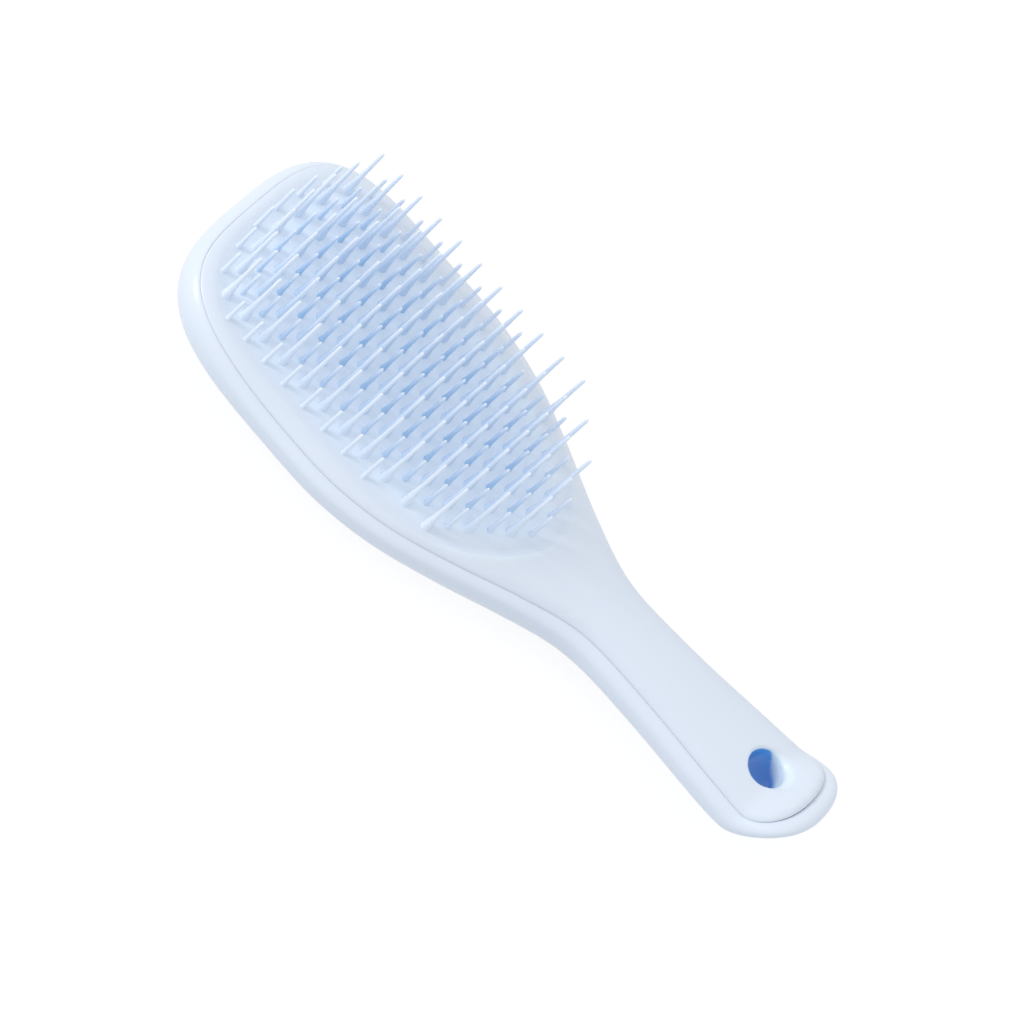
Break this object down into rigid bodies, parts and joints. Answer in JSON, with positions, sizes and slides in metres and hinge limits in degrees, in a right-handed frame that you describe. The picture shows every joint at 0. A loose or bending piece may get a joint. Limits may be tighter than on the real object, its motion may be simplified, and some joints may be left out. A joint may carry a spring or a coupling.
{
  "type": "detangling brush",
  "caption": "Pocket-size detangling brush: a wide oval head with long and short moulded teeth, and a short tapered handle with a hanging hole.",
  "frame": {"origin": "centre of the bounding box in plan, at the lowest point of the back", "axes": "+X from the head's end to the handle's end, +Y across the brush, +Z the way the teeth point"},
  "size_m": [0.172, 0.0642, 0.0371],
  "materials": {
    "shell": "satin, soft moulded sheen",
    "panel": "satin, soft moulded sheen",
    "teeth": "satin, slightly translucent"
  },
  "bodies": {
    "root": {"back_shell": "shell", "front_panel": "panel", "tooth_plate": "teeth"}
  },
  "joints": []
}
